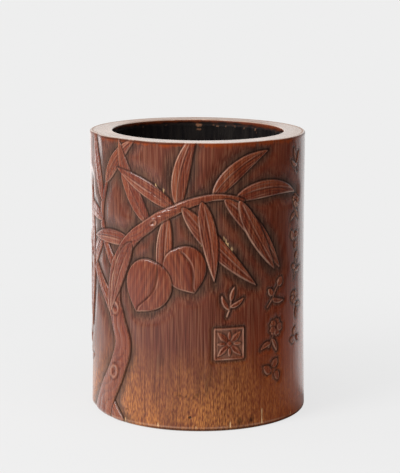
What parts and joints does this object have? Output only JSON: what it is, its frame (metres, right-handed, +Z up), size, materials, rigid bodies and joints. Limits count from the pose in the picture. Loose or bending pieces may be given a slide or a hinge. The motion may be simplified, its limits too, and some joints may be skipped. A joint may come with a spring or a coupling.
{
  "type": "bamboo brush pot",
  "caption": "Round upright pot carved from a thick bamboo tube, with a let-in wooden floor and a lacquered inside, for standing brushes and pens in.",
  "frame": {"origin": "centre of the foot, on the plane that the pot stands on", "axes": "+Z up along the tube's axis, the front of the pot faces -Y, +X to the right seen from the front"},
  "size_m": [0.116, 0.116, 0.15],
  "materials": {
    "bamboo": "hand-polished old bamboo, semi-gloss",
    "disc_wood": "planed hardwood, oiled",
    "peg_bamboo": "split bamboo, polished flush",
    "black_lacquer": "brushed black lacquer, worn"
  },
  "bodies": {
    "root": {"culm_wall": "bamboo", "base_disc": "disc_wood", "lacquer_lining": "black_lacquer", "base_peg_1": "peg_bamboo", "base_peg_2": "peg_bamboo", "base_peg_3": "peg_bamboo", "base_peg_4": "peg_bamboo"}
  },
  "joints": []
}
